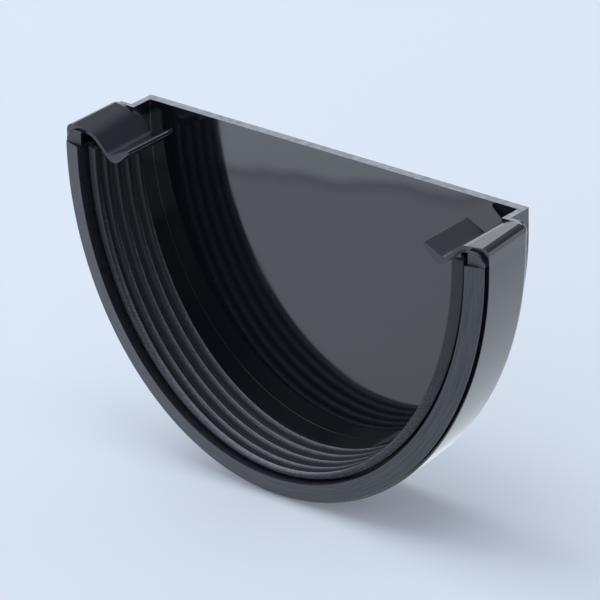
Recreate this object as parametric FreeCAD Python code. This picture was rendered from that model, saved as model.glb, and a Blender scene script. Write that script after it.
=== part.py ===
import FreeCAD, Part
import os
from math import asin, cos, degrees, radians, sin, tan

# A moulded end cap for a deep half-elliptical rain gutter, with its ribbed rubber seal.
# Millimetres. X runs across the mouth, Y from the mouth towards the end wall, Z is up.
# The origin is in the plane of the mouth, midway between the clips, level with the gutter's edges.
# Every curve is a half ellipse about that level: half widths are measured along it and depths down
# from it. What reaches above it stands straight up.

# Collar, the wide front section that holds the seal
collar_half_width = 67.8
collar_depth = 82.4
collar_back = 20.8
collar_draft = 1.4
collar_wall = 2.3
collar_back_radius = 1.8
collar_back_steps = 3
shoulder_wall = 1.3

# Flange round the mouth, a shallow cone that stands proud at its inner edge. Its outer edge stands
# in from the collar by a small step.
flange_side_width = 5.1
flange_bottom_width = 5.5
flange_rise = 1.6
flange_step = 0.6
flange_step_length = 0.9
flange_thickness = 4.5

# Rear section, which stands in from the collar, and end wall
rear_step = 6.8
rear_wall = 1.8
rear_top = 5.1
end_wall_outside = 28.6
end_wall_thickness = 2.5
end_wall_edge_radius = 0.6

# Clips, one at each end of the mouth, that hook over the gutter's edges
clip_top = 4.6
clip_rise = 0.7
clip_lean = 0.4
clip_corner_radius = 1.0
clip_sheet = 1.0
clip_slope = 45.0
clip_seal_clearance = 0.1
clip_shoulder_radius = 8.0
clip_trough_low = -0.9
clip_trough_radius = 2.0
clip_trough_thickness = 2.0
clip_trough_under_radius = 3.0
clip_lip_reach = 7.8
clip_lip_slope = 26.0
clip_lip_thickness = 1.2
clip_under_slope = 38.0

# End blocks, which finish the flange under the clips
end_block_top = 3.5
end_block_radius = 3.0

# Rims, the ends of the collar's back wall, which stand above the clips
rim_inset = 2.8
rim_chamfer = 0.6

# Seal, a rubber strip with ribs, bonded into the collar
rib_count = 5
rib_pitch = 4.1
rib_top = 1.5
rib_height = 1.8
rib_front_run = 0.7
rib_back_run = 0.6
rib_back_fall = 0.25
seal_side_height = 8.4
seal_bottom_height = 6.1
seal_taper = 0.12
seal_front = 1.1
seal_lip_thickness = 2.5
seal_lip_setback = 1.2
seal_clearance = 0.15

# Places worked out from the sizes above. The S of a clip crosses the gutter's edge level with its
# under side just inside the seal's crests, so that the gutter's wall comes up between them.
wall_front = flange_rise + flange_step_length
face_half_width = collar_half_width - flange_step
face_depth = collar_depth - flange_step
channel_back = collar_back - shoulder_wall
seat_half_width = collar_half_width - collar_wall
seat_depth = collar_depth - collar_wall
bore_half_width = face_half_width - flange_side_width
bore_depth = face_depth - flange_bottom_width
rear_half_width = collar_half_width - rear_step
rear_depth = collar_depth - rear_step
rear_bore_half_width = rear_half_width - rear_wall
rear_bore_depth = rear_depth - rear_wall
end_wall_inside = end_wall_outside - end_wall_thickness
seal_crest_half_width = seat_half_width - seal_side_height - seal_taper * (rib_count - 1)
clip_under_half_width = seal_crest_half_width - clip_seal_clearance
clip_slope_half_width = clip_under_half_width - clip_sheet / sin(radians(clip_slope))
clip_lip_half_width = clip_slope_half_width - clip_lip_reach
rim_half_width = collar_half_width - rim_inset


def point(x, y, z):
    return FreeCAD.Vector(x, y, z)


def half_ellipse(half_width, depth, y):
    """The lower half of an ellipse in a plane of constant Y, from one side to the other."""
    ellipse = Part.Ellipse(point(0, y, -depth), point(half_width, y, 0), point(0, y, 0))
    quarter = radians(90)
    return Part.ArcOfEllipse(ellipse, -quarter, quarter).toShape()


def solid_from_faces(faces):
    """Sews faces that meet along their edges into one solid, turned so that its volume is positive."""
    shell = Part.makeShell(faces)
    shell.sewShape()
    solid = Part.makeSolid(shell)
    if solid.Volume < 0:
        solid.reverse()
    return solid


def band(profile):
    """Carries a closed profile of (half width, depth, y) corners round the half ellipse."""
    arcs = [half_ellipse(half_width, depth, y) for half_width, depth, y in profile]
    faces = [Part.makeRuledSurface(here, there) for here, there in zip(arcs, arcs[1:] + arcs[:1])]
    for side in (-1, 1):
        corners = [point(side * half_width, y, 0) for half_width, depth, y in profile]
        faces.append(Part.Face(Part.makePolygon(corners + corners[:1])))
    return solid_from_faces(faces)


def slab(half_width, depth, y_front, y_back, top):
    """A solid plate with the half-elliptical outline and straight sides up to its flat top."""
    arc = half_ellipse(half_width, depth, y_front)
    first = arc.Vertexes[0].Point
    last = arc.Vertexes[-1].Point
    up = point(0, 0, top)
    sides = Part.makePolygon([last, last + up, first + up, first])
    face = Part.Face(Part.Wire([arc] + sides.Edges))
    return face.extrude(point(0, y_back - y_front, 0))


def arc_about(centre_x, centre_z, radius, start, end, y):
    """An arc in a plane of constant Y. Angles are in degrees, from +X towards +Z."""
    spots = []
    for angle in (radians(start), radians((start + end) / 2), radians(end)):
        spots.append(point(centre_x + radius * cos(angle), y, centre_z + radius * sin(angle)))
    return Part.Arc(*spots).toShape()


def joined(pieces, y):
    """Closes arcs, given in order, and (x, z) corners between them with straight lines."""
    edges = []
    first = None
    last = None
    for piece in pieces:
        is_corner = isinstance(piece, tuple)
        start = point(piece[0], y, piece[1]) if is_corner else piece.Vertexes[0].Point
        if last is not None and (start - last).Length > 1e-6:
            edges.append(Part.makeLine(last, start))
        if is_corner:
            last = start
        else:
            edges.append(piece)
            last = piece.Vertexes[-1].Point
        first = first or start
    edges.append(Part.makeLine(last, first))
    return Part.Wire(edges)


def draft(y):
    """How far the collar's outside has drawn in at a distance behind its front edge."""
    return collar_draft * (y - wall_front) / (collar_back - wall_front)


def collar_stations():
    """(y, inset) pairs along the collar's outside: the drafted run and its rounded back edge."""
    run_end = collar_back - collar_back_radius
    stations = [(wall_front, 0)]
    for step in range(collar_back_steps + 1):
        angle = radians(90 * step / collar_back_steps)
        inset = draft(run_end) + collar_back_radius * (1 - cos(angle))
        stations.append((run_end + collar_back_radius * sin(angle), inset))
    return stations


def flat_top_end(top):
    """Half width at which a clip's flat top ends and the bend into the slope of the S begins."""
    slope = radians(clip_slope)
    bend_end_z = top - clip_shoulder_radius * (1 - cos(slope))
    return clip_slope_half_width + bend_end_z / tan(slope) + clip_shoulder_radius * sin(slope)


def clip_outline(inset, y):
    """The right clip seen from the front: a corner, a flat top, an S down and a lip up."""
    slope = radians(clip_slope)
    lip = radians(clip_lip_slope)
    along = (y - wall_front) / (collar_back - wall_front)
    bottom = collar_half_width - inset
    outer = bottom + clip_lean * along
    top = clip_top + clip_rise * along - (inset - draft(y))
    corner = arc_about(outer - clip_corner_radius, top - clip_corner_radius, clip_corner_radius, 0, 90, y)
    # The upper side of the S turns down, runs straight and turns up into the lip
    flat_end = flat_top_end(top)
    bend = arc_about(flat_end, top - clip_shoulder_radius, clip_shoulder_radius, 90, 90 + clip_slope, y)
    trough_z = clip_trough_low + clip_trough_radius
    trough_start_z = trough_z - clip_trough_radius * cos(slope)
    trough_x = clip_slope_half_width + trough_start_z / tan(slope) - clip_trough_radius * sin(slope)
    trough = arc_about(trough_x, trough_z, clip_trough_radius, 270 + clip_slope, 270 - clip_lip_slope, y)
    trough_end = trough.Vertexes[-1].Point
    tip_z = trough_end.z + (trough_end.x - clip_lip_half_width) * tan(lip)
    # The under side runs parallel to the S and is thicker below the trough
    under_z = clip_trough_low - clip_trough_thickness + clip_trough_under_radius
    under_start_z = under_z - clip_trough_under_radius * cos(slope)
    under_x = clip_under_half_width + under_start_z / tan(slope) - clip_trough_under_radius * sin(slope)
    keel = arc_about(under_x, under_z, clip_trough_under_radius, 270 - clip_under_slope, 270 + clip_slope, y)
    return joined(
        [
            (bottom, 0),
            corner,
            bend,
            trough,
            (clip_lip_half_width, tip_z),
            (clip_lip_half_width, tip_z - clip_lip_thickness),
            keel,
            (clip_under_half_width, 0),
        ],
        y,
    )


def recess():
    """The hollow under the S, above the end of the seal, which the gutter's edge comes up into."""
    flat_end = flat_top_end(clip_top)
    radius = clip_shoulder_radius - clip_sheet
    first = 90 + degrees(asin(max(flat_end - bore_half_width, 0) / radius))
    under = arc_about(flat_end, clip_top - clip_shoulder_radius, radius, first, 90 + clip_slope, 0)
    outline = joined([(bore_half_width, 0), under, (clip_under_half_width, 0)], 0)
    return Part.Face(outline).extrude(point(0, channel_back, 0))


def clip():
    """The right clip, solid down to the gutter's edge level outside the hollow under its S."""
    outlines = [clip_outline(inset, y) for y, inset in collar_stations()]
    return Part.makeLoft(outlines, True, True).cut(recess())


def end_block():
    """The block that ends the flange in front of the right clip, with its rounded corner."""
    centre_x = face_half_width - end_block_radius
    centre_z = end_block_top - end_block_radius
    corner = arc_about(centre_x, centre_z, end_block_radius, 0, 90, flange_rise)
    corners = [(face_half_width, 0), corner, (bore_half_width, end_block_top), (bore_half_width, 0)]
    return Part.Face(joined(corners, flange_rise)).extrude(point(0, flange_step_length, 0))


def rim():
    """The end of the collar's back wall, which stands above the right clip."""
    corners = [
        (rear_bore_half_width, 0),
        (rear_bore_half_width, rear_top),
        (rim_half_width - rim_chamfer, rear_top),
        (rim_half_width, rear_top - rim_chamfer),
        (rim_half_width, 0),
    ]
    return Part.Face(joined(corners, channel_back)).extrude(point(0, collar_back - channel_back, 0))


def seal_corner(height, y):
    """A corner of the seal, at a height above its seat. The strip is thinner at the bottom."""
    share = seal_bottom_height / seal_side_height
    return (seat_half_width - height, seat_depth - height * share, y)


def seat_corner(y):
    """A corner of the seal on the drafted seat, with its clearance."""
    inset = draft(y) + seal_clearance
    return (seat_half_width - inset, seat_depth - inset, y)


def seal_profile():
    """The seal's section: a body in the channel, a lip towards the mouth and the ribs."""
    lip = seal_side_height - seal_lip_thickness
    front = flange_thickness + seal_clearance
    back = channel_back - seal_clearance
    corners = [
        seat_corner(back),
        seat_corner(front),
        seal_corner(lip, front),
        seal_corner(lip, seal_front + seal_lip_setback),
    ]
    for index in range(rib_count):
        crest = seal_side_height + seal_taper * index
        valley = crest - rib_height
        y = seal_front + rib_pitch * index
        if index > 0:
            corners.append(seal_corner(valley, y - rib_front_run))
        corners.append(seal_corner(crest, y))
        corners.append(seal_corner(crest - rib_back_fall, y + rib_top))
        if index < rib_count - 1:
            corners.append(seal_corner(valley, y + rib_top + rib_back_run))
    return corners


def seal():
    return band(seal_profile())


def collar():
    """The drafted front section with the seal's channel inside it."""
    outside = []
    for y, inset in collar_stations():
        outside.append((collar_half_width - inset, collar_depth - inset, y))
    channel = []
    for y in (channel_back, flange_thickness):
        channel.append((seat_half_width - draft(y), seat_depth - draft(y), y))
    return band(
        [
            (bore_half_width, bore_depth, flange_rise),
            (face_half_width, face_depth, flange_rise),
            (face_half_width, face_depth, wall_front),
            *outside,
            (rear_bore_half_width, rear_bore_depth, collar_back),
            (rear_bore_half_width, rear_bore_depth, channel_back),
            *channel,
            (bore_half_width, bore_depth, flange_thickness),
        ]
    )


def flange_cone():
    """The proud inner part of the flange, which ends under the clips."""
    return band(
        [
            (bore_half_width, bore_depth, 0),
            (face_half_width, face_depth, flange_rise),
            (bore_half_width, bore_depth, flange_rise),
        ]
    )


def rear():
    """The narrower rear section and the flat end wall that closes it, with a softened outer edge."""
    outside = slab(rear_half_width, rear_depth, channel_back, end_wall_outside, rear_top)
    edges = []
    for edge in outside.Edges:
        box = edge.BoundBox
        if box.YMin > end_wall_outside - 0.01 and box.ZMin < rear_top - 0.01:
            edges.append(edge)
    outside = outside.makeFillet(end_wall_edge_radius, edges)
    hollow = slab(rear_bore_half_width, rear_bore_depth, channel_back, end_wall_inside, rear_top)
    return outside.cut(hollow)


def cap_body():
    body = collar().fuse([flange_cone(), rear()])
    right = [clip(), end_block(), rim()]
    left = [piece.mirror(point(0, 0, 0), point(1, 0, 0)) for piece in right]
    return body.fuse(right + left).removeSplitter()


os.makedirs("parts", exist_ok=True)
for name, shape in (("cap_body", cap_body()), ("seal", seal())):
    solid = shape.Solids[0]
    print(name, len(shape.Solids), shape.isValid(), round(shape.Volume), shape.BoundBox)
    solid.exportStep("parts/%s.step" % name)
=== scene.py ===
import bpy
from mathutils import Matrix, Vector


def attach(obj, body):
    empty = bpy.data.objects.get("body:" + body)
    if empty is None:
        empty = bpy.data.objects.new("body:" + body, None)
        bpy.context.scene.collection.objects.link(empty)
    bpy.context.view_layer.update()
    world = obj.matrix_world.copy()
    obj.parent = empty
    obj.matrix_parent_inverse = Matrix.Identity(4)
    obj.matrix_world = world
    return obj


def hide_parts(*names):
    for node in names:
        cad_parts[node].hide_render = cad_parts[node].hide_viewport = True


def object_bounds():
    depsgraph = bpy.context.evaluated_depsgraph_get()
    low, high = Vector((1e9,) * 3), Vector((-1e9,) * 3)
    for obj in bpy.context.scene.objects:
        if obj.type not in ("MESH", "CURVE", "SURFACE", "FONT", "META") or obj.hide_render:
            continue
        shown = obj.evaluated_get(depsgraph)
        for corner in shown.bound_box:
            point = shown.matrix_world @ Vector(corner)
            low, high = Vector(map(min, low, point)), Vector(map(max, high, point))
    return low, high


bl_info = {
    "name": "Gutter end cap",
    "version": (1, 0, 0),
    "blender": (4, 5, 0),
    "location": "View3D > Sidebar > Gutter Cap",
    "description": "Dresses a moulded gutter end cap and its ribbed rubber seal",
    "category": "Add Mesh",
}

import bmesh
import bpy
import numpy as np
from bpy.props import FloatProperty, FloatVectorProperty, IntProperty, PointerProperty, StringProperty
from mathutils import Matrix, Vector

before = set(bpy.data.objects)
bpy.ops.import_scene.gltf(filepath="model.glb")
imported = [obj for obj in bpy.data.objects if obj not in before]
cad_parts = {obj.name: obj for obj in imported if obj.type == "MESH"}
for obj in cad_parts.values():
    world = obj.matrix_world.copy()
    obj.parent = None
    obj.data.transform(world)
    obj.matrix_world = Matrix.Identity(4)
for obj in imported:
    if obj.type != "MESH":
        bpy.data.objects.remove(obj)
CAD_BOX = [list(corner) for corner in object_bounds()]
MM = 0.001
BODY = "root"

# How far one shell reaches into the next, so that no two faces lie in one plane
LAP = 0.1 * MM

# How closely faces and points are picked by their place
NEAR = 0.1 * MM

# Points on the rounds of the clips and the end blocks, and rows round their back and front edges
CORNER_POINTS = 9
BEND_POINTS = 16
TROUGH_POINTS = 12
UPPER_TIP_POINTS = 6
LOWER_TIP_POINTS = 5
BLOCK_POINTS = 14
CLIP_BACK_ROWS = 6
BLOCK_FRONT_ROWS = 5

# Numbers of the cap's finishes in its list of materials, where 0 is the plain moulding. 2 is painted light
# in the shaded bore, and 3 is a painted highlight on edges
TRIMMED, PAINTED_BORE_LIGHT, PAINTED_HIGHLIGHT = 1, 2, 3

# The photograph's frame is square. The camera's place, its turn and its lens were solved from the
# ellipses of the mouth and from the mirrored corners of the clips.
IMAGE_PIXELS = 600
SENSOR_MM = 36.0


# Settings


def length(name, description, millimetres):
    """A length property, written in millimetres and kept in metres."""
    return FloatProperty(name=name, description=description, default=millimetres * MM, unit="LENGTH")


def angle(name, description, degrees):
    """An angle property, written in degrees and kept in radians."""
    return FloatProperty(name=name, description=description, default=np.radians(degrees), subtype="ANGLE")


def hex_colour(name, description, digits):
    """A colour property, written and kept as sRGB hex digits."""
    return StringProperty(name=name, description=description, default=digits)


class CapSettings(bpy.types.PropertyGroup):
    """Sizes of the moulded cap. Half widths lie along X, and depths run down from Z = 0."""

    half_width: length("Collar half width", "Side of the collar at its front", 67.8)
    depth: length("Collar depth", "Bottom of the collar at its front", 82.4)
    back: length("Collar back", "Where the collar steps in to the rear section", 20.8)
    draft: length("Draft", "How far the collar draws in towards its back", 1.4)
    wall: length("Collar wall", "Thickness round the seal's seat", 2.3)
    back_radius: length("Back edge radius", "Round on the collar's back edge", 1.8)
    shoulder: length("Shoulder", "Thickness of the collar's back wall", 1.3)
    flange_side: length("Flange side width", "Width of the flange at the sides", 5.0)
    flange_bottom: length("Flange bottom width", "Width of the flange at the bottom", 5.4)
    flange_rise: length("Flange rise", "How far the inner edge of the flange stands proud", 1.6)
    edge_step: length("Flange step", "How far the flange's outer edge stands in", 0.7)
    edge_length: length("Flange step length", "Length of the step round the flange", 1.25)
    bead: length("Edge bead", "Width of the bead on the flange's outer edge", 0.3)
    groove: length("Groove", "Depth of the groove behind the bead", 0.9)
    flange_thickness: length("Flange thickness", "Back of the flange", 4.5)
    step: length("Rear step", "How far the rear section stands in from the collar", 6.8)
    rear_wall: length("Rear wall", "Thickness of the rear section", 1.8)
    rear_top: length("Rear top", "Height of the end wall above the gutter's edges", 5.1)
    end_outside: length("End wall outside", "Outer face of the end wall", 28.6)
    end_thickness: length("End wall thickness", "Thickness of the end wall", 2.5)
    edge_radius: length("End wall edge", "Round on the end wall's outer edge", 0.6)
    segments: IntProperty(name="Segments", description="Steps round the path", default=160, min=24, max=400)


class ClipSettings(bpy.types.PropertyGroup):
    """Sizes of the two clips."""

    top: length("Top", "Height of the crest at the front", 4.6)
    rise: length("Rise", "How much higher the crest is at the back", 0.7)
    lean: length("Lean", "How far the top leans out at the back", 0.4)
    corner: length("Corner radius", "Round on the outer corner", 2.0)
    sheet: length("Sheet", "Thickness of the S", 1.0)
    slope: angle("Slope", "Slope of the S", 45)
    under: length("Under side", "Half width at which the under side crosses the gutter's edge level", 56.52)
    crest: length("Crest", "How far in from the side the top is highest", 2.1)
    crown: angle("Crown", "Fall of the top inwards from its crest", 7)
    shoulder: length("Shoulder radius", "Bend from the top into the S", 6.0)
    low: length("Trough", "Lowest level of the upper side", -0.9)
    trough: length("Trough radius", "Bend of the upper side", 2.0)
    keel_depth: length("Keel depth", "Thickness below the trough", 2.0)
    keel: length("Keel radius", "Bend of the under side", 3.0)
    keel_slope: angle("Keel slope", "Slope of the lip's under side", 38)
    lip: length("Lip", "Half width of the lip's tip", 47.306)
    lip_slope: angle("Lip slope", "Slope of the lip", 26)
    lip_thickness: length("Lip thickness", "Thickness of the tip", 1.2)
    tip_radius: length("Tip radius", "Round on both edges of the tip", 0.3)
    block_top: length("End block top", "Top of the end block's face", 3.5)
    block_radius: length("End block radius", "Round on the end block's face", 3.0)
    block_edge: length("End block edge", "Round on the edge of the block's face", 0.45)
    rim: length("Rim", "Half width at which the rim ends", 65.0)
    rim_chamfer: length("Rim chamfer", "Chamfer on the rim's end", 0.6)


class SealSettings(bpy.types.PropertyGroup):
    """Sizes of the ribbed rubber strip."""

    ribs: IntProperty(name="Ribs", description="Number of ribs", default=5, min=1, max=12)
    pitch: length("Pitch", "Distance from rib to rib", 4.1)
    top: length("Rib top", "Width of a rib's top", 1.5)
    height: length("Rib height", "Height of a rib above its valley", 1.8)
    front_run: length("Front run", "Run of a rib's front side", 0.7)
    back_run: length("Back run", "Run of a rib's back side", 0.6)
    back_fall: length("Back fall", "Fall of a rib's top towards its back", 0.25)
    side_height: length("Side height", "Crest above the seat at the sides", 8.4)
    bottom_height: length("Bottom height", "Crest above the seat at the bottom", 6.1)
    taper: length("Taper", "Rise of each crest over the last", 0.12)
    front: length("Front", "Front of the first rib", 1.1)
    lip_gap: length("Lip gap", "Gap from the lip to the bore at the sides", 1.8)
    lip_gap_bottom: length("Lip gap, bottom", "Gap from the lip to the bore at the bottom", 0.6)
    first_top: length("First rib top", "Width of the first rib's top", 2.1)
    setback: length("Setback", "How far the lip's outer side stands back", 1.2)
    clearance: length("Clearance", "Gap to the channel", 0.15)
    segments: IntProperty(name="Segments", description="Steps round the path", default=160, min=24, max=400)


class FinishSettings(bpy.types.PropertyGroup):
    """Colours of the finishes and of the floor."""

    plastic: hex_colour("Plastic", "Black of the moulded plastic", "14171C")
    trimmed: hex_colour("Trimmed faces", "Grey of the cut plastic", "5F6063")
    trimmed_dark: hex_colour("Tool lines", "Darker lines on the cut plastic", "444548")
    # Painted light: a lighter grey in the flange's shaded bore, in place of the light and reflection that
    # reach it
    dull: hex_colour("Dull bore", "Dusty grey of the flange's bore", "2C3036")
    dull_dark: hex_colour("Dull bore, dark", "Darker mottle of the flange's bore", "1C1F24")
    # Painted highlight: a pale grey on the end wall's top and the lips' tips, in place of lamp highlights
    # on the edges
    painted_highlight: hex_colour("Scuffs", "Pale grey of the scuffed edges", "B0B3B8")
    painted_highlight_dark: hex_colour("Scuffs, dark", "Darker mottle of the scuffed edges", "8E9196")
    rubber: hex_colour("Rubber", "Black of the rubber", "1A1D21")
    # Pale specks on the ribs: partly the rubber's bloom and partly a painted highlight where light falls on
    # the crests and the lip
    rubber_bloom_and_highlight: hex_colour("Rubber bloom", "Pale specks on the ribs", "C4C8D0")
    floor: hex_colour("Floor", "Pale grey of the floor", "E3E8EF")


class StageSettings(bpy.types.PropertyGroup):
    """The camera, the lamps and the level of the light."""

    eye: FloatVectorProperty(
        name="Camera",
        description="Place of the camera",
        default=(0.948, -1.1644, 0.6706),
        subtype="XYZ",
        unit="LENGTH",
    )
    back: FloatVectorProperty(
        name="Camera back",
        description="Direction from the object to the camera",
        default=(0.56893, -0.70643, 0.42104),
        subtype="DIRECTION",
    )
    right: FloatVectorProperty(
        name="Camera right",
        description="Direction of the picture's right",
        default=(0.78411, 0.62035, -0.01869),
        subtype="DIRECTION",
    )
    focal_pixels: FloatProperty(
        name="Focal length", description="In pixels of the photograph", default=6553.0, subtype="PIXEL"
    )
    world: FloatProperty(name="World", description="Level of the light from all round", default=1.2)
    front: FloatProperty(name="Front", description="Level of the light in front and above", default=2.0)
    key: FloatProperty(name="Key", description="Power of the lamp on the left", default=7.0, unit="POWER")
    overhead: FloatProperty(name="Overhead", description="Power of the top lamp", default=6.5, unit="POWER")
    low: FloatProperty(name="Low", description="Power of each lamp behind", default=1.5, unit="POWER")


# Surfaces


def unit(vectors):
    """The same directions with length 1."""
    size = np.linalg.norm(vectors, axis=-1, keepdims=True)
    return vectors / np.maximum(size, 1e-12)


def rounded(corners, radii, steps):
    """Rounds each corner of a closed line. A corner C becomes the parabola with control point C
    between the points that lie its radius away on both sides, or 45% of the shorter side if less."""
    corners = np.asarray(corners, float)
    back = np.roll(corners, 1, 0) - corners
    ahead = np.roll(corners, -1, 0) - corners
    room = 0.45 * np.minimum(np.linalg.norm(back, axis=1), np.linalg.norm(ahead, axis=1))
    reach = np.minimum(np.asarray(radii, float), room)[:, None]
    start = (corners + unit(back) * reach)[:, None]
    end = (corners + unit(ahead) * reach)[:, None]
    t = np.linspace(0, 1, steps)[None, :, None]
    curve = (1 - t) ** 2 * start + 2 * t * (1 - t) * corners[:, None] + t**2 * end
    return curve.reshape(-1, corners.shape[1])


def arc(centre_x, centre_z, radius, start, end, count):
    """Points (x, z) at equal angles on an arc: centre plus radius times (cosine, sine)."""
    turn = np.linspace(np.radians(start), np.radians(end), count)
    return np.stack([centre_x + radius * np.cos(turn), centre_z + radius * np.sin(turn)], 1)


def sweep(profile, segments, top=0.0):
    """Carries a closed profile of (half width, depth, y) round the half ellipse
    x = half width * cos t, z = -depth * sin t, with t from 0 to pi. With a top, both ends go on
    straight up to it. Returns a grid of points, rows along the path."""
    t = np.linspace(0, np.pi, segments + 1)[:, None]
    a, b, y = profile[None, :, 0], profile[None, :, 1], profile[None, :, 2]
    grid = np.stack([a * np.cos(t), y + 0 * t, -b * np.sin(t)], -1)
    if top > 0:
        first, last = grid[:1].copy(), grid[-1:].copy()
        first[..., 2] = top
        last[..., 2] = top
        grid = np.concatenate([first, grid, last])
    return grid


def shell_faces(grid, offset, plugged, cut):
    """Faces of a closed shell on a grid of points, with a flat cap at each end of its rows. The
    columns join round on themselves, or, in a plugged shell, the first and the last column are each
    filled by one flat face and joined along the top. A cut splits the first cap in two, along the
    line between its two columns."""
    rows, columns = grid.shape[:2]
    index = offset + np.arange(rows * columns).reshape(rows, columns)
    here, up = index[:-1], index[1:]
    quads = np.stack([here, np.roll(here, -1, 1), np.roll(up, -1, 1), up], -1)
    first = [index[0]]
    if cut:
        start, end = cut
        first = [index[0, start : end + 1], np.concatenate([index[0, end:], index[0, : start + 1]])]
    caps = [cap[::-1].tolist() for cap in first] + [index[-1].tolist()]
    if not plugged:
        return quads.reshape(-1, 4).tolist() + caps
    plugs = [index[:, 0].tolist(), index[::-1, -1].tolist()]
    top = [index[0, 0], index[0, -1], index[-1, -1], index[-1, 0]]
    return quads[:, :-1].reshape(-1, 4).tolist() + caps + plugs + [[int(corner) for corner in top]]


def moulded_piece(name, grids, plugged=(), cuts=None, crest=None):
    """Puts closed shells into one mesh, merges doubled points and turns all faces outwards.
    Plugged holds numbers of shells, and cuts gives a shell's number its pair of columns. The UV map
    holds millimetres: from row to row in U and from column to column in V. A crest share for each
    point of the only grid is kept as an attribute."""
    doubled, degenerate = 1e-7, 1e-8
    points, faces, travel, offset = [], [], [], 0
    for number, grid in enumerate(grids):
        faces += shell_faces(grid, offset, number in plugged, (cuts or {}).get(number))
        along = np.linalg.norm(np.diff(grid, axis=0), axis=-1)
        across = np.linalg.norm(np.diff(grid, axis=1), axis=-1)
        u = np.concatenate([np.zeros((1, grid.shape[1])), np.cumsum(along, 0)])
        v = np.concatenate([np.zeros((grid.shape[0], 1)), np.cumsum(across, 1)], 1)
        travel.append(np.stack([u, v], -1).reshape(-1, 2) / MM)
        points.append(grid.reshape(-1, 3))
        offset += grid.shape[0] * grid.shape[1]
    mesh = bpy.data.meshes.new(name)
    mesh.from_pydata(np.concatenate(points).tolist(), [], faces)
    uv = mesh.uv_layers.new(name="run_mm")
    corner = np.zeros(len(mesh.loops), np.int32)
    mesh.loops.foreach_get("vertex_index", corner)
    uv.data.foreach_set("uv", np.concatenate(travel)[corner].astype(np.float32).ravel())
    if crest is not None:
        share = mesh.attributes.new("crest", "FLOAT", "POINT")
        share.data.foreach_set("value", crest.astype(np.float32).ravel())
    work = bmesh.new()
    work.from_mesh(mesh)
    bmesh.ops.remove_doubles(work, verts=work.verts, dist=doubled)
    bmesh.ops.dissolve_degenerate(work, edges=work.edges, dist=degenerate)
    bmesh.ops.recalc_face_normals(work, faces=work.faces)
    work.to_mesh(mesh)
    work.free()
    mesh.polygons.foreach_set("use_smooth", np.ones(len(mesh.polygons), bool))
    mesh.update()
    piece = bpy.data.objects.new(name, mesh)
    bpy.context.scene.collection.objects.link(piece)
    return piece


def soften(piece, width):
    """Rounds the edges sharper than 40 degrees, then lets the larger faces set the normals."""
    bevel = piece.modifiers.new("soft edges", "BEVEL")
    bevel.width = width
    bevel.segments = 2
    bevel.limit_method = "ANGLE"
    bevel.angle_limit = np.radians(40)
    bevel.miter_outer = "MITER_ARC"
    weight = piece.modifiers.new("even faces", "WEIGHTED_NORMAL")
    weight.weight = 80
    weight.keep_sharp = True


# Moulded cap


def collar_front(cap):
    """Where the collar's full width and the clips begin, behind the step round the flange."""
    return cap.flange_rise + cap.edge_length


def bore_side(cap):
    """Half width of the flange's bore."""
    return cap.half_width - cap.edge_step - cap.flange_side


def drafted(cap, y):
    """How far the collar has drawn in at y: its draft times the share of the way to the back."""
    front = collar_front(cap)
    return cap.draft * (y - front) / (cap.back - front)


def collar_profile(cap):
    """The collar's section: the flange's cone, its edge bead and the groove behind it, the drafted
    outside, the rounded back edge, the back wall and the seal's channel."""
    front = collar_front(cap)
    edge = cap.edge_step
    bead = cap.flange_rise + cap.bead
    bead_fall = 0.1 * MM
    floor = edge + cap.groove
    side, bottom = edge + cap.flange_side, edge + cap.flange_bottom
    inner = cap.step + cap.rear_wall - LAP
    seat_y = cap.back - cap.shoulder
    seat_back = cap.wall + drafted(cap, seat_y)
    seat_front = cap.wall + drafted(cap, cap.flange_thickness)
    # Each row: how far in from the side and from the bottom, y, and the corner's radius in mm
    rows = [
        (side, bottom, 0, 0.15),
        (edge, edge, cap.flange_rise, 0.3),
        (edge, edge, bead, 0.1),
        (floor, floor, bead + bead_fall, 0.2),
        (floor, floor, front, 0.2),
        (0, 0, front, 0.15),
        (cap.draft, cap.draft, cap.back, cap.back_radius / MM),
        (inner, inner, cap.back, 0.1),
        (inner, inner, seat_y, 0.1),
        (seat_back, seat_back, seat_y, 0.1),
        (seat_front, seat_front, cap.flange_thickness, 0.1),
        (side, bottom, cap.flange_thickness, 0.2),
    ]
    rows = np.array(rows)
    corners = np.stack([cap.half_width - rows[:, 0], cap.depth - rows[:, 1], rows[:, 2]], 1)
    return rounded(corners, rows[:, 3] * MM, steps=7)


def cup_profile(cap):
    """The rear section and the rim of the end wall: from the wall's inner face out to the bore, down
    the bore, back up the outside and in round the wall's outer edge. Flat plugs fill the rest, from
    a rim inside the bore."""
    a, b = cap.half_width - cap.step, cap.depth - cap.step
    start = cap.back - cap.shoulder - LAP / 2
    inside = cap.end_outside - cap.end_thickness
    wall = cap.rear_wall
    rim = 2 * MM
    plug = wall + rim
    # Each row: half width, depth, y, and the corner's radius in mm
    rows = np.array(
        [
            (a - plug, b - plug, inside, 0),
            (a - wall, b - wall, inside, 0.12),
            (a - wall, b - wall, start, 0.05),
            (a, b, start, 0.05),
            (a, b, cap.end_outside, cap.edge_radius / MM),
            (a - plug, b - plug, cap.end_outside, 0),
        ]
    )
    return rounded(rows[:, :3], rows[:, 3] * MM, steps=7)


def sheet_crossing(clip):
    """Half width at which the upper side of the S crosses Z = 0."""
    return clip.under - clip.sheet / np.sin(clip.slope)


def shoulder_centre(clip, crest_x, top):
    """Centre of the bend that joins the crown to the slope of the S. The two lines cross where their
    heights agree, and the centre lies below that point, away from it along the mean of their
    normals by the radius over the cosine of half the angle between them."""
    crossing = sheet_crossing(clip)
    steep, slight = np.tan(clip.slope), np.tan(clip.crown)
    x = (top - slight * crest_x + steep * crossing) / (steep - slight)
    z = steep * (x - crossing)
    mean = (clip.slope + clip.crown) / 2
    away = clip.shoulder / np.cos((clip.slope - clip.crown) / 2)
    return x + away * np.sin(mean), z - away * np.cos(mean)


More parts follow.
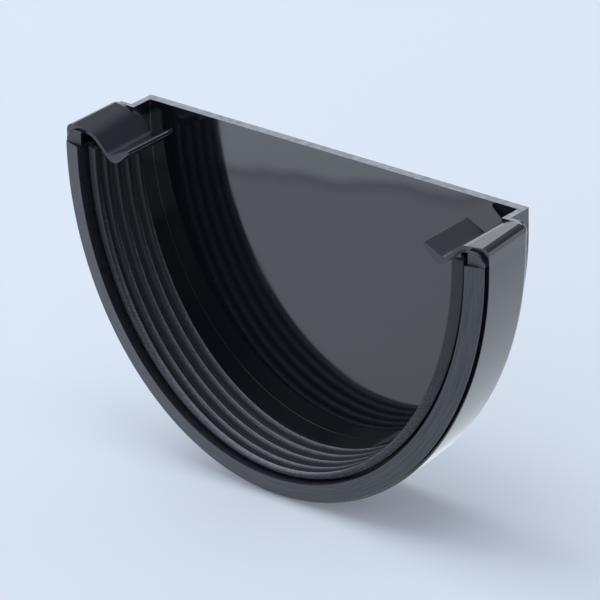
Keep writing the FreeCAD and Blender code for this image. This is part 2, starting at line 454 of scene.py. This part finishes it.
def hollow_outline(cap, clip):
    """The hollow under the S as (x, z) points: level in from the bore, then round the under side."""
    bore = bore_side(cap)
    x, z = shoulder_centre(clip, cap.half_width - clip.crest, clip.top)
    radius = clip.shoulder - clip.sheet
    first = 90 + np.degrees(clip.crown)
    under = arc(x, z, radius, 90 + np.degrees(clip.slope), first, TROUGH_POINTS)
    return np.concatenate([[(clip.under, 0)], under, [(bore, under[-1, 1]), (bore, 0)]])


def clip_outline(cap, clip, inset, y):
    """One clip outline at y, as (x, z) points: corner, crest, crown, S, trough, lip and keel. The
    last stretch runs round the hollow under the S, which keeps its shape from front to back."""
    front = collar_front(cap)
    share = (y - front) / (cap.back - front)
    bottom = cap.half_width - inset
    outer = bottom + clip.lean * share
    top = clip.top + clip.rise * share - (inset - drafted(cap, y))
    slope = np.degrees(clip.slope)
    lip = np.degrees(clip.lip_slope)
    keel_slope = np.degrees(clip.keel_slope)
    crossing = sheet_crossing(clip)
    crest_x = outer - clip.crest
    bend_x, bend_z = shoulder_centre(clip, crest_x, top)
    trough_z = clip.low + clip.trough
    trough_start = trough_z - clip.trough * np.cos(clip.slope)
    trough_x = crossing + trough_start / np.tan(clip.slope) - clip.trough * np.sin(clip.slope)
    trough = arc(trough_x, trough_z, clip.trough, 270 + slope, 270 - lip, TROUGH_POINTS)
    tip_z = trough[-1, 1] + (trough[-1, 0] - clip.lip) * np.tan(clip.lip_slope)
    # A rounded corner's centre lies its radius in from both of the lines that meet there
    tip = clip.tip_radius
    high = tip_z - tip * (1 + np.sin(clip.lip_slope)) / np.cos(clip.lip_slope)
    low = tip_z - clip.lip_thickness + tip * (1 - np.sin(clip.keel_slope)) / np.cos(clip.keel_slope)
    keel_z = clip.low - clip.keel_depth + clip.keel
    keel_start = keel_z - clip.keel * np.cos(clip.slope)
    keel_x = clip.under + keel_start / np.tan(clip.slope) - clip.keel * np.sin(clip.slope)
    return np.concatenate(
        [
            [(bottom, 0)],
            arc(outer - clip.corner, top - clip.corner, clip.corner, 0, 90, CORNER_POINTS),
            [(crest_x, top)],
            arc(bend_x, bend_z, clip.shoulder, 90 + np.degrees(clip.crown), 90 + slope, BEND_POINTS),
            trough,
            arc(clip.lip + tip, high, tip, 90 - lip, 180, UPPER_TIP_POINTS),
            arc(clip.lip + tip, low, tip, 180, 270 - keel_slope, LOWER_TIP_POINTS),
            arc(keel_x, keel_z, clip.keel, 270 - keel_slope, 270 + slope, BEND_POINTS),
            hollow_outline(cap, clip),
        ]
    )


def sheet_columns(outline):
    """Numbers of the outline's points where the sheet of the S begins: on top, after the bottom, the
    corner and the crest, and under it, where the hollow's arc ends before its last two points."""
    return CORNER_POINTS + 2, len(outline) - 3


def placed(outline, y):
    """Stands an (x, z) outline in the plane at y."""
    return np.stack([outline[:, 0], np.full(len(outline), y), outline[:, 1]], 1)


def clip_grid(cap, clip):
    """The right clip: outlines from its front to its back, with the collar's draft and rounded edge.
    A separate plug closes the hollow behind."""
    front = collar_front(cap)
    run_end = cap.back - cap.back_radius
    rows = [placed(clip_outline(cap, clip, 0, front), front)]
    for turn in np.linspace(0, np.pi / 2, CLIP_BACK_ROWS):
        y = run_end + cap.back_radius * np.sin(turn)
        inset = drafted(cap, run_end) + cap.back_radius * (1 - np.cos(turn))
        rows.append(placed(clip_outline(cap, clip, inset, y), y))
    return np.stack(rows)


def block_grid(cap, clip):
    """The right end block: a flat face with a rounded corner and a rounded front edge, carried
    straight back into the clip."""
    bore = bore_side(cap)
    centre_x = cap.half_width - cap.edge_step - clip.block_radius
    centre_z = clip.block_top - clip.block_radius
    into_clip = 0.5 * MM
    rows = []
    for turn in np.linspace(0, np.pi / 2, BLOCK_FRONT_ROWS):
        inset = clip.block_edge * (1 - np.sin(turn))
        radius = clip.block_radius - inset
        corner = arc(centre_x, centre_z, radius, 0, 90, BLOCK_POINTS)
        inner = [(bore, centre_z + radius), (bore, 0)]
        outline = np.concatenate([[(centre_x + radius, 0)], corner, inner])
        rows.append(placed(outline, cap.flange_rise + clip.block_edge * (1 - np.cos(turn))))
    rows.append(placed(outline, collar_front(cap) + into_clip))
    return np.stack(rows)


def rim_grid(cap, clip):
    """The right rim: the end of the collar's back wall above the clip, with a chamfered corner."""
    inner = cap.half_width - cap.step - LAP
    top, cut = cap.rear_top, clip.rim_chamfer
    outline = np.array(
        [(inner, 0), (inner, top), (clip.rim - cut, top), (clip.rim, top - cut), (clip.rim, 0)]
    )
    return np.stack([placed(outline, cap.back - cap.shoulder), placed(outline, cap.back - LAP / 5)])


def hollow_end_grid(cap, clip):
    """The plug that closes the right clip's hollow at its back, set a little up and out."""
    outline = hollow_outline(cap, clip) + LAP / 2
    return np.stack([placed(outline, cap.back - cap.shoulder), placed(outline, cap.back - LAP / 2)])


def mirrored(grid):
    """The same shell on the other side, with its points in the same order."""
    return grid * np.array([-1, 1, 1])


# Rubber seal


def seal_profile(cap, seal):
    """The strip's section: a body in the channel, a lip towards the mouth, then for each rib a front
    side, a top that falls a little and a back side. Heights shrink round the bottom by one share."""
    share = seal.bottom_height / seal.side_height
    back = cap.back - cap.shoulder - seal.clearance
    front = cap.flange_thickness + seal.clearance
    lip_side = cap.edge_step + cap.flange_side - cap.wall + seal.lip_gap
    lip_bottom = cap.edge_step + cap.flange_bottom - cap.wall + seal.lip_gap_bottom
    # Each row: height above the seat at the side and at the bottom, y, and the corner's radius in mm
    rows = []
    for y in (back, front):
        seat = seal.clearance + drafted(cap, y)
        rows.append((seat, seat, y, 0.1))
    rows.append((lip_side, lip_bottom, front, 0.1))
    rows.append((lip_side, lip_bottom, seal.front + seal.setback, 0.35))
    for rib in range(seal.ribs):
        crest = seal.side_height + seal.taper * rib
        y = seal.front + seal.pitch * rib
        valley = crest - seal.height
        if rib > 0:
            rows.append((valley, valley * share, y - seal.front_run, 0.3))
        rows.append((crest, crest * share, y, 0.75))
        y += seal.top if rib > 0 else seal.first_top
        fallen = crest - seal.back_fall
        rows.append((fallen, fallen * share, y, 0.3))
        if rib < seal.ribs - 1:
            rows.append((valley, valley * share, y + seal.back_run, 0.3))
    rows = np.array(rows)
    seat_a, seat_b = cap.half_width - cap.wall, cap.depth - cap.wall
    corners = np.stack([seat_a - rows[:, 0], seat_b - rows[:, 1], rows[:, 2]], 1)
    return rounded(corners, rows[:, 3] * MM, steps=5)


def bloom_and_highlight_share(cap, seal, profile):
    """How much pale grey lies on each point. It is partly the rubber's bloom and partly painted light where
    light from above falls. Across the section it grows with the height above the valleys and towards the
    back edge of each rib, where a painted highlight lies. The front of the lip has at least a share of
    painted light of its own. Along the path it grows from a small share at the sides to 1 at the bottom, as
    the light from above does."""
    # How fast the painted highlight grows towards a rib's back edge, the painted light on the lip's front,
    # and the least share, at the sides
    growth, lip_painted_light, side_share = 1.1, 0.36, 0.15
    height = cap.half_width - cap.wall - profile[:, 0]
    raised = np.clip((height - seal.side_height + seal.height) / seal.height, 0, 1)
    run = (profile[:, 2] - seal.front + seal.front_run) % seal.pitch
    across = raised * np.clip(run / (seal.front_run + seal.top), 0, 1) ** growth
    on_lip = profile[:, 2] < seal.front + seal.setback + NEAR
    across = np.maximum(across, lip_painted_light * on_lip)
    # Painted light from above: the share rises from the sides to the bottom, which faces the overhead lamp
    along = side_share + (1 - side_share) * np.sin(np.linspace(0, np.pi, seal.segments + 1))
    return np.outer(along, across)


# Materials


def linear(digits):
    """sRGB hex to linear light: c / 12.92 below 0.04045, else ((c + 0.055) / 1.055) ** 2.4."""
    c = np.array([int(digits[i : i + 2], 16) for i in (0, 2, 4)]) / 255
    return tuple(np.where(c <= 0.04045, c / 12.92, ((c + 0.055) / 1.055) ** 2.4)) + (1.0,)


def add_node(tree, kind, settings=None, inputs=None, links=None, stops=()):
    """Adds a node, sets its properties and sockets, links sockets to (node, output) pairs and lays
    (position, colour) stops along a colour ramp. A plain number stands for that grey. A noise's
    scale counts its marks in a metre, or in a millimetre of the UV map."""
    node = tree.nodes.new(kind)
    for key, value in (settings or {}).items():
        setattr(node, key, value)
    for key, value in (inputs or {}).items():
        node.inputs[key].default_value = value
    for key, (source, output) in (links or {}).items():
        tree.links.new(source.outputs[output], node.inputs[key])
    if stops:
        elements = node.color_ramp.elements
        while len(elements) < len(stops):
            elements.new(0.5)
        for element, (position, value) in zip(elements, stops):
            element.position = position
            element.color = value if isinstance(value, tuple) else (value, value, value, 1)
    return node


def new_material(name):
    """An empty material and its node tree."""
    material = bpy.data.materials.new(name)
    material.use_nodes = True
    material.node_tree.nodes.clear()
    return material, material.node_tree


def moulded_plastic(finish, inner_face):
    """Black rigid PVC, injection moulded against a polished tool. It gives a clear mirror of what is
    round it, with a faint waviness of about 20 mm and a little handling haze. On the end wall's
    inner face a brighter gloss begins at a soft dark line, slanting just below the gutter's edges,
    where two fronts of plastic met in the tool. All in front of that face and above the clips' keels
    is satin from handling, so lamps show in the clips as soft bands."""
    # The gloss at slanted heights in mm, least at the line, and the span that the ramp covers
    line = ((-3.4, 0.5), (-0.4, 0.4), (2.6, 0.72), (14, 0.8))
    low, high = -37, 23
    # How the heights slant across X, how far the waviness bends them, and how near the face they count
    tilt, bend, band = -0.17, 6 * MM, 0.5 * MM
    # Satin sets in between two heights and ends between two distances from the face
    satin_from, satin_to = -4 * MM, -3 * MM
    gloss_from, gloss_to = 0.6 * MM, 0.1 * MM
    # What satin adds to the roughness
    satin_roughness = 0.15
    material, tree = new_material("moulded_black_pvc")
    where = add_node(tree, "ShaderNodeTexCoord")
    haze = add_node(
        tree,
        "ShaderNodeTexNoise",
        inputs={"Scale": 70.0, "Detail": 4.0, "Roughness": 0.6},
        links={"Vector": (where, "Object")},
    )
    rough = add_node(
        tree, "ShaderNodeValToRGB", links={"Fac": (haze, "Fac")}, stops=[(0.35, 0.045), (0.75, 0.09)]
    )
    wave = add_node(
        tree,
        "ShaderNodeTexNoise",
        inputs={"Scale": 55.0, "Detail": 1.0, "Roughness": 0.4},
        links={"Vector": (where, "Object")},
    )
    bump = add_node(
        tree,
        "ShaderNodeBump",
        inputs={"Strength": 0.08, "Distance": 0.0004},
        links={"Height": (wave, "Fac")},
    )
    place = add_node(tree, "ShaderNodeSeparateXYZ", links={"Vector": (where, "Object")})
    slant = add_node(
        tree,
        "ShaderNodeVectorMath",
        settings={"operation": "DOT_PRODUCT"},
        inputs={1: (tilt, 0, 1)},
        links={0: (where, "Object")},
    )
    bent = add_node(
        tree,
        "ShaderNodeMath",
        settings={"operation": "MULTIPLY_ADD"},
        inputs={1: bend},
        links={0: (wave, "Fac"), 2: (slant, "Value")},
    )
    above = add_node(
        tree,
        "ShaderNodeMapRange",
        inputs={"From Min": low * MM, "From Max": high * MM},
        links={"Value": (bent, "Value")},
    )
    wall = add_node(
        tree,
        "ShaderNodeMapRange",
        inputs={"From Min": inner_face - gloss_from, "From Max": inner_face - gloss_to},
        links={"Value": (place, "Y")},
    )
    inside = add_node(
        tree,
        "ShaderNodeMath",
        settings={"operation": "COMPARE"},
        inputs={1: inner_face, 2: band},
        links={0: (place, "Y")},
    )
    front = add_node(
        tree,
        "ShaderNodeMath",
        settings={"operation": "MULTIPLY"},
        links={0: (above, "Result"), 1: (inside, "Value")},
    )
    gloss = add_node(
        tree,
        "ShaderNodeValToRGB",
        links={"Fac": (front, "Value")},
        stops=[((height - low) / (high - low), level) for height, level in line],
    )
    raised = add_node(
        tree,
        "ShaderNodeMapRange",
        inputs={"From Min": satin_from, "From Max": satin_to},
        links={"Value": (place, "Z")},
    )
    clips = add_node(
        tree,
        "ShaderNodeMath",
        settings={"operation": "MULTIPLY_ADD", "use_clamp": True},
        inputs={1: -1.0},
        links={0: (wall, "Result"), 2: (raised, "Result")},
    )
    satin = add_node(
        tree,
        "ShaderNodeMath",
        settings={"operation": "MULTIPLY_ADD"},
        inputs={1: satin_roughness},
        links={0: (clips, "Value"), 2: (rough, "Color")},
    )
    shader = add_node(
        tree,
        "ShaderNodeBsdfPrincipled",
        inputs={"Base Color": linear(finish.plastic), "IOR": 1.62},
        links={
            "Specular IOR Level": (gloss, "Color"),
            "Roughness": (satin, "Value"),
            "Normal": (bump, "Normal"),
        },
    )
    add_node(tree, "ShaderNodeOutputMaterial", links={"Surface": (shader, "BSDF")})
    return material


def trimmed_plastic(finish):
    """The same PVC where it was trimmed after moulding: a dull grey face with fine tool lines about
    0.5 mm apart, each some 20 mm long, that follow the edge."""
    material, tree = new_material("trimmed_black_pvc")
    where = add_node(tree, "ShaderNodeTexCoord")
    run = add_node(
        tree, "ShaderNodeMapping", inputs={"Scale": (0.05, 2.2, 1.0)}, links={"Vector": (where, "UV")}
    )
    lines = add_node(
        tree,
        "ShaderNodeTexNoise",
        inputs={"Scale": 1.0, "Detail": 4.0, "Roughness": 0.75},
        links={"Vector": (run, "Vector")},
    )
    rough = add_node(
        tree, "ShaderNodeValToRGB", links={"Fac": (lines, "Fac")}, stops=[(0.3, 0.4), (0.7, 0.6)]
    )
    tint = add_node(
        tree,
        "ShaderNodeValToRGB",
        links={"Fac": (lines, "Fac")},
        stops=[(0.38, linear(finish.trimmed_dark)), (0.62, linear(finish.trimmed))],
    )
    bump = add_node(
        tree,
        "ShaderNodeBump",
        inputs={"Strength": 0.5, "Distance": 0.0003},
        links={"Height": (lines, "Fac")},
    )
    shader = add_node(
        tree,
        "ShaderNodeBsdfPrincipled",
        inputs={"IOR": 1.3},
        links={"Base Color": (tint, "Color"), "Roughness": (rough, "Color"), "Normal": (bump, "Normal")},
    )
    add_node(tree, "ShaderNodeOutputMaterial", links={"Surface": (shader, "BSDF")})
    return material


def moulded_rubber(finish):
    """Black EPDM rubber moulded in a matt tool. Its valleys are a deep soft black. On the crests lies a
    pale grey in specks of about 0.5 mm. It is partly the rubber's bloom and partly a painted highlight
    where light falls on the ribs. A shallow grain of the same size breaks up the light."""
    material, tree = new_material("moulded_black_epdm")
    where = add_node(tree, "ShaderNodeTexCoord")
    grain = add_node(
        tree,
        "ShaderNodeTexNoise",
        inputs={"Scale": 1800.0, "Detail": 2.0, "Roughness": 0.6},
        links={"Vector": (where, "Object")},
    )
    speck = add_node(
        tree,
        "ShaderNodeTexNoise",
        inputs={"Scale": 2200.0, "Detail": 2.0, "Roughness": 0.6},
        links={"Vector": (where, "Object")},
    )
    crest = add_node(tree, "ShaderNodeAttribute", settings={"attribute_name": "crest"})
    bloom_and_highlight = add_node(
        tree,
        "ShaderNodeMath",
        settings={"operation": "MULTIPLY"},
        links={0: (crest, "Fac"), 1: (speck, "Fac")},
    )
    # The crest share times the specks turns the black to pale grey: part bloom, part painted highlight
    tint = add_node(
        tree,
        "ShaderNodeValToRGB",
        links={"Fac": (bloom_and_highlight, "Value")},
        stops=[(0.1, linear(finish.rubber)), (0.6, linear(finish.rubber_bloom_and_highlight))],
    )
    bump = add_node(
        tree,
        "ShaderNodeBump",
        inputs={"Strength": 0.5, "Distance": 0.0001},
        links={"Height": (grain, "Fac")},
    )
    shader = add_node(
        tree,
        "ShaderNodeBsdfPrincipled",
        inputs={"Roughness": 0.6, "IOR": 1.5},
        links={"Base Color": (tint, "Color"), "Normal": (bump, "Normal")},
    )
    add_node(tree, "ShaderNodeOutputMaterial", links={"Surface": (shader, "BSDF")})
    return material


def painted_light_plastic(name, light, dark):
    """The same PVC with painted light: a dull grey in place of the mirror, mottled at a little under 2 mm.
    It lifts the shaded bore, and on edges it stands as a painted highlight."""
    material, tree = new_material(name)
    where = add_node(tree, "ShaderNodeTexCoord")
    dust = add_node(
        tree,
        "ShaderNodeTexNoise",
        inputs={"Scale": 600.0, "Detail": 3.0, "Roughness": 0.6},
        links={"Vector": (where, "Object")},
    )
    tint = add_node(
        tree,
        "ShaderNodeValToRGB",
        links={"Fac": (dust, "Fac")},
        stops=[(0.35, linear(dark)), (0.65, linear(light))],
    )
    shader = add_node(
        tree,
        "ShaderNodeBsdfPrincipled",
        inputs={"Roughness": 0.6, "IOR": 1.4},
        links={"Base Color": (tint, "Color")},
    )
    add_node(tree, "ShaderNodeOutputMaterial", links={"Surface": (shader, "BSDF")})
    return material


def floor_paint(finish):
    """Smooth matt board. It has a weak glow of its own for the camera and a stronger one in gloss, so
    both see it as pale, and the glow lights nothing else."""
    camera_glow, gloss_glow = 0.15, 0.8
    material, tree = new_material("pale_board")
    colour = linear(finish.floor)
    path = add_node(tree, "ShaderNodeLightPath")
    glossy = add_node(
        tree,
        "ShaderNodeMath",
        settings={"operation": "MULTIPLY"},
        inputs={1: gloss_glow},
        links={0: (path, "Is Glossy Ray")},
    )
    level = add_node(
        tree,
        "ShaderNodeMath",
        settings={"operation": "MULTIPLY_ADD"},
        inputs={1: camera_glow},
        links={0: (path, "Is Camera Ray"), 2: (glossy, "Value")},
    )
    shader = add_node(
        tree,
        "ShaderNodeBsdfPrincipled",
        inputs={
            "Base Color": colour,
            "Roughness": 0.9,
            "Specular IOR Level": 0.2,
            "Emission Color": colour,
        },
        links={"Emission Strength": (level, "Value")},
    )
    add_node(tree, "ShaderNodeOutputMaterial", links={"Surface": (shader, "BSDF")})
    return material


def lay_finishes(piece, cap, clip):
    """Gives each face its material by its place and by the way it looks. Trimmed faces look out of the
    mouth, on the flange, the end blocks and the fronts of the clips' sheets. Faces that look inwards in the
    flange's bore get painted light, a lighter mottled grey that lifts their shade. The end wall's top and
    the rounds of the lips' tips, short of the clips' rounded backs, get a pale mottled grey as a painted
    highlight. All others stay as moulded."""
    # Least cosines to the way out of the mouth, straight up and straight in
    mouthward, upward, inward = 0.93, 0.9, 0.5
    # A tip's round has a cosine to the side between two limits, and the bore one to the mouth below one
    slight, steep, level = 0.6, 0.97, 0.3
    mesh = piece.data
    normal = np.zeros(len(mesh.polygons) * 3)
    centre = np.zeros(len(mesh.polygons) * 3)
    mesh.polygons.foreach_get("normal", normal)
    mesh.polygons.foreach_get("center", centre)
    across, back, up = normal.reshape(-1, 3).T
    x, y, z = centre.reshape(-1, 3).T
    front = collar_front(cap)
    above_keel = z > clip.low - clip.keel_depth
    on_sheet = above_keel & (np.abs(x) < cap.half_width - cap.step)
    reach = np.where(on_sheet, front + NEAR, (cap.flange_rise + front) / 2)
    trimmed = (back < -mouthward) & (y < reach)
    top = (up > upward) & (z > cap.rear_top - NEAR)
    at_tip = above_keel & (np.abs(x) < clip.lip + clip.tip_radius)
    slanted = (np.abs(across) > slight) & (np.abs(across) < steep)
    # Painted highlight: the end wall's top and the rounds of the lips' tips
    painted_highlight = top | (at_tip & slanted & (y < cap.back - cap.back_radius))
    inwards = across * x + up * z < -inward * np.hypot(x, z)
    # Painted light: the inward faces of the flange's shaded bore
    bore_painted_light = inwards & (np.abs(back) < level) & (y < cap.flange_thickness) & (z < 0)
    finishes = np.select([trimmed, painted_highlight, bore_painted_light], [TRIMMED, PAINTED_HIGHLIGHT, PAINTED_BORE_LIGHT])
    mesh.polygons.foreach_set("material_index", finishes.astype(np.int32))
    mesh.update()


# Operators


class CAP_OT_moulding(bpy.types.Operator):
    """Builds the moulded cap: collar, rear section, end wall, clips, end blocks and rims"""

    bl_idname = "gutter_cap.moulding"
    bl_label = "Moulded cap"

    def execute(self, context):
        cap, clip = context.scene.cap_settings, context.scene.clip_settings
        finish = context.scene.finish_settings
        collar = sweep(collar_profile(cap), cap.segments)
        cup = sweep(cup_profile(cap), cap.segments, cap.rear_top)
        right = [grid(cap, clip) for grid in (clip_grid, hollow_end_grid, block_grid, rim_grid)]
        left = [mirrored(grid) for grid in right]
        # Shell 1 is the cup, and the clips are shell 2 and the first shell on the left
        cut = sheet_columns(right[0][0])
        cuts = {2: cut, 2 + len(right): cut}
        piece = moulded_piece("cap_moulding", [collar, cup, *right, *left], plugged=(1,), cuts=cuts)
        for material in (
            moulded_plastic(finish, cap.end_outside - cap.end_thickness),
            trimmed_plastic(finish),
            # Painted light: a lighter grey in the shaded bore, and a pale grey painted highlight on edges
            painted_light_plastic("painted_bore_light_pvc", finish.dull, finish.dull_dark),
            painted_light_plastic("painted_highlight_pvc", finish.painted_highlight, finish.painted_highlight_dark),
        ):
            piece.data.materials.append(material)
        lay_finishes(piece, cap, clip)
        soften(piece, 0.22 * MM)
        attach(piece, BODY)
        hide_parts("cap_body")
        return {"FINISHED"}


class CAP_OT_seal(bpy.types.Operator):
    """Builds the ribbed rubber seal in the collar's channel"""

    bl_idname = "gutter_cap.seal"
    bl_label = "Rubber seal"

    def execute(self, context):
        cap, seal = context.scene.cap_settings, context.scene.seal_settings
        profile = seal_profile(cap, seal)
        # The share of pale bloom and painted highlight on each point of the strip, kept as the attribute
        # named crest
        crest = bloom_and_highlight_share(cap, seal, profile)
        piece = moulded_piece("ribbed_seal", [sweep(profile, seal.segments)], crest=crest)
        piece.data.materials.append(moulded_rubber(context.scene.finish_settings))
        soften(piece, 0.2 * MM)
        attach(piece, BODY)
        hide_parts("seal")
        return {"FINISHED"}


class CAP_OT_stage(bpy.types.Operator):
    """Sets the floor, the lamps, the world and the camera"""

    bl_idname = "gutter_cap.stage"
    bl_label = "Stage"

    def execute(self, context):
        scene = context.scene
        stage = scene.stage_settings
        level = CAD_BOX[0][2]
        reach = 6.0
        corners = [(x * reach, y * reach, level) for x, y in ((-1, -1), (1, -1), (1, 1), (-1, 1))]
        mesh = bpy.data.meshes.new("floor")
        mesh.from_pydata(corners, [], [(0, 1, 2, 3)])
        mesh.materials.append(floor_paint(scene.finish_settings))
        floor = bpy.data.objects.new("floor", mesh)
        scene.collection.objects.link(floor)
        # Each lamp's place, its width and its power
        self.lamp(scene, "key_lamp", (-0.9, 0.0, 1.25), 1.1, stage.key)
        self.lamp(scene, "overhead_lamp", (0.15, -0.05, 1.6), 1.2, stage.overhead)
        self.lamp(scene, "left_low_lamp", (-1.04, 1.18, 0.34), 0.62, stage.low)
        self.lamp(scene, "right_low_lamp", (1.12, 1.18, 0.34), 0.62, stage.low)
        self.surround(scene, stage)
        self.camera(scene, stage)
        scene.view_settings.view_transform = "Standard"
        return {"FINISHED"}

    def lamp(self, scene, name, place, size, power):
        """A square soft lamp that faces the object."""
        data = bpy.data.lights.new(name, "AREA")
        data.shape = "SQUARE"
        data.size = size
        data.energy = power
        data.color = (0.94, 0.97, 1.0)
        lamp = bpy.data.objects.new(name, data)
        lamp.location = place
        lamp.rotation_euler = Vector(place).to_track_quat("Z", "Y").to_euler()
        scene.collection.objects.link(lamp)

    def surround(self, scene, stage):
        """A studio surround, palest a little low and to the left, an even grey in the middle and dim
        high on the right. The grey follows height + 0.8 x across in the direction looked in. Its
        level rises in a soft patch in front and above, about 60 degrees in radius."""
        world = bpy.data.worlds.new("studio")
        world.use_nodes = True
        tree = world.node_tree
        tree.nodes.clear()
        where = add_node(tree, "ShaderNodeTexCoord")
        lean = add_node(
            tree,
            "ShaderNodeVectorMath",
            settings={"operation": "DOT_PRODUCT"},
            inputs={1: (0.8, 0, 1)},
            links={0: (where, "Generated")},
        )
        # The span of height + 0.8 x across, the way to the soft patch and the cosine at its edge
        low, high = -0.9, 1.3
        patch, patch_edge = (0.1, -0.6, 0.8), 0.5
        share = add_node(
            tree,
            "ShaderNodeMapRange",
            inputs={"From Min": low, "From Max": high},
            links={"Value": (lean, "Value")},
        )
        sky = (
            (-0.6, "98A0AC"),
            (-0.25, "C0C7D3"),
            (-0.03, "98A0AC"),
            (0.15, "9CA4B0"),
            (0.43, "A9B0BC"),
            (0.7, "A6ADB9"),
            (0.84, "8A929F"),
            (0.92, "6A7282"),
            (1.2, "5A6270"),
        )
        grey = add_node(
            tree,
            "ShaderNodeValToRGB",
            links={"Fac": (share, "Result")},
            stops=[((at - low) / (high - low), linear(colour)) for at, colour in sky],
        )
        ahead = add_node(
            tree,
            "ShaderNodeVectorMath",
            settings={"operation": "DOT_PRODUCT"},
            inputs={1: patch},
            links={0: (where, "Generated")},
        )
        level = add_node(
            tree,
            "ShaderNodeMapRange",
            settings={"interpolation_type": "SMOOTHSTEP"},
            inputs={"From Min": patch_edge, "From Max": 1.0, "To Min": stage.world, "To Max": stage.front},
            links={"Value": (ahead, "Value")},
        )
        shade = add_node(
            tree, "ShaderNodeBackground", links={"Color": (grey, "Color"), "Strength": (level, "Result")}
        )
        add_node(tree, "ShaderNodeOutputWorld", links={"Surface": (shade, "Background")})
        scene.world = world

    def camera(self, scene, stage):
        """The camera's axes are right, up = back x right, and back. Its lens in millimetres is the
        focal length in pixels times the sensor's width over the picture's."""
        back = Vector(stage.back).normalized()
        right = Vector(stage.right)
        right = (right - back * right.dot(back)).normalized()
        up = back.cross(right)
        turn = Matrix((right, up, back)).transposed().to_4x4()
        data = bpy.data.cameras.new("camera")
        data.sensor_width = SENSOR_MM
        data.lens = stage.focal_pixels * SENSOR_MM / IMAGE_PIXELS
        data.clip_end = 50
        camera = bpy.data.objects.new("camera", data)
        camera.matrix_world = Matrix.Translation(Vector(stage.eye)) @ turn
        scene.collection.objects.link(camera)
        scene.camera = camera


class CAP_PT_panel(bpy.types.Panel):
    """Lists the operators and the settings of the cap"""

    bl_idname = "CAP_PT_panel"
    bl_label = "Gutter end cap"
    bl_space_type = "VIEW_3D"
    bl_region_type = "UI"
    bl_category = "Gutter Cap"

    def draw(self, context):
        for operator in OPERATORS:
            self.layout.operator(operator.bl_idname)
        for name in SETTINGS:
            box = self.layout.box()
            group = getattr(context.scene, name)
            for key in group.__annotations__:
                box.prop(group, key)


SETTINGS = {
    "cap_settings": CapSettings,
    "clip_settings": ClipSettings,
    "seal_settings": SealSettings,
    "finish_settings": FinishSettings,
    "stage_settings": StageSettings,
}
OPERATORS = (CAP_OT_moulding, CAP_OT_seal, CAP_OT_stage)


def register():
    for cls in (*SETTINGS.values(), *OPERATORS, CAP_PT_panel):
        bpy.utils.register_class(cls)
    for name, group in SETTINGS.items():
        setattr(bpy.types.Scene, name, PointerProperty(type=group))


def unregister():
    for name in SETTINGS:
        delattr(bpy.types.Scene, name)
    for cls in reversed((*SETTINGS.values(), *OPERATORS, CAP_PT_panel)):
        bpy.utils.unregister_class(cls)


def main():
    register()
    bpy.ops.gutter_cap.moulding()
    bpy.ops.gutter_cap.seal()
    bpy.ops.gutter_cap.stage()


if __name__ == "__main__":
    main()
